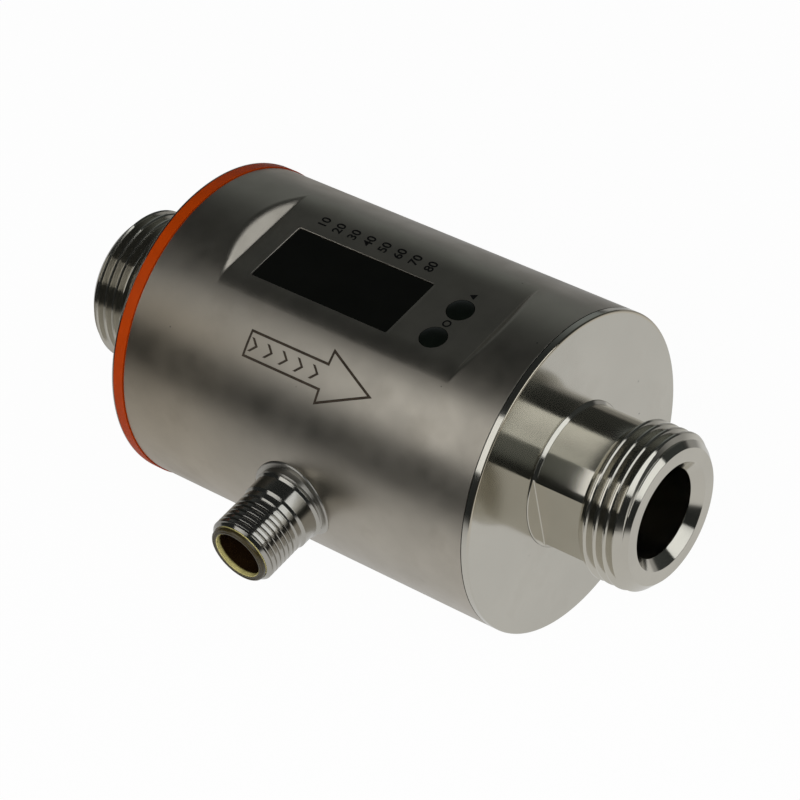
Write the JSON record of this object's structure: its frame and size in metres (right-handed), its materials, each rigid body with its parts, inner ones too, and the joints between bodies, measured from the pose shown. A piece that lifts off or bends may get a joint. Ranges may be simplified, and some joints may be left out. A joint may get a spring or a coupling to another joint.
{
  "type": "electromagnetic flow meter",
  "caption": "Cylindrical in-line electromagnetic flow meter with threaded pipe ends, a flat display recess with push buttons and a round plug connector on its side.",
  "frame": {"origin": "on the flow axis, half way between the two threaded ends", "axes": "+X along the flow direction towards the outlet, +Z out of the display, -Y out of the plug connector"},
  "size_m": [0.11, 0.0678, 0.0544],
  "materials": {
    "housing_steel": "bead-blasted satin stainless steel",
    "plate_steel": "finely ground stainless steel",
    "fitting_steel": "turned stainless steel",
    "connector_steel": "turned stainless steel, bright",
    "ring_orange": "orange moulded plastic",
    "window_black": "black polished plastic pane",
    "button_rubber": "black moulded rubber",
    "insert_amber": "amber contact carrier",
    "contact_gold": "gold-plated contacts",
    "liner_plastic": "natural insulating plastic",
    "inner_steel": "turned steel",
    "seal_rubber": "black sealing rubber",
    "magnet_iron": "annealed soft iron",
    "bobbin_plastic": "black moulded plastic",
    "winding_copper": "enamelled copper wire",
    "board_green": "green circuit board",
    "chip_black": "black moulded component",
    "plunger_plastic": "white moulded plastic",
    "lamp_plastic": "clear moulded lamp",
    "flex_amber": "amber flexible circuit",
    "lead_grey": "grey insulated wire"
  },
  "bodies": {
    "meter_body": {"board_ribbon": "lead_grey", "coil_leads": "lead_grey", "connector_board": "board_green", "connector_flex": "flex_amber", "connector_insert": "insert_amber", "connector_seal": "seal_rubber", "connector_shell": "connector_steel", "contact_pins": "contact_gold", "core_screws": "inner_steel", "display_board": "board_green", "display_module": "chip_black", "display_window": "window_black", "electrode_leads": "lead_grey", "electrode_left": "inner_steel", "electrode_right": "inner_steel", "electrode_seals": "seal_rubber", "gland_rings": "inner_steel", "housing_ring": "ring_orange", "housing_tube": "housing_steel", "indicator_lamps": "lamp_plastic", "inlet_end_plate": "plate_steel", "inlet_fitting": "fitting_steel", "inlet_plate_seal": "seal_rubber", "lower_board_screws": "inner_steel", "lower_bobbin": "bobbin_plastic", "lower_carrier": "bobbin_plastic", "lower_core": "magnet_iron", "lower_pole_shoe": "magnet_iron", "lower_winding": "winding_copper", "main_board": "board_green", "main_board_chips": "chip_black", "measuring_tube": "liner_plastic", "mode_switch": "chip_black", "outlet_end_plate": "plate_steel", "outlet_fitting": "fitting_steel", "probe_lead": "lead_grey", "set_switch": "chip_black", "temperature_probe": "inner_steel", "tube_seals": "seal_rubber", "upper_board_screws": "inner_steel", "upper_bobbin": "bobbin_plastic", "upper_carrier": "bobbin_plastic", "upper_core": "magnet_iron", "upper_pole_shoe": "magnet_iron", "upper_winding": "winding_copper", "window_seal": "seal_rubber", "yoke": "magnet_iron"},
    "mode_key": {"mode_button": "button_rubber", "mode_switch_plunger": "plunger_plastic"},
    "set_key": {"set_button": "button_rubber", "set_switch_plunger": "plunger_plastic"}
  },
  "joints": [
    {"name": "mode_button_press", "type": "slide", "parent": "meter_body", "child": "mode_key", "axis": [0, 0, -1], "range_m": [0, 0.0005], "stiffness_N_per_m": 1500, "springref_m": -0.0003},
    {"name": "set_button_press", "type": "slide", "parent": "meter_body", "child": "set_key", "axis": [0, 0, -1], "range_m": [0, 0.0005], "stiffness_N_per_m": 1500, "springref_m": -0.0003}
  ]
}
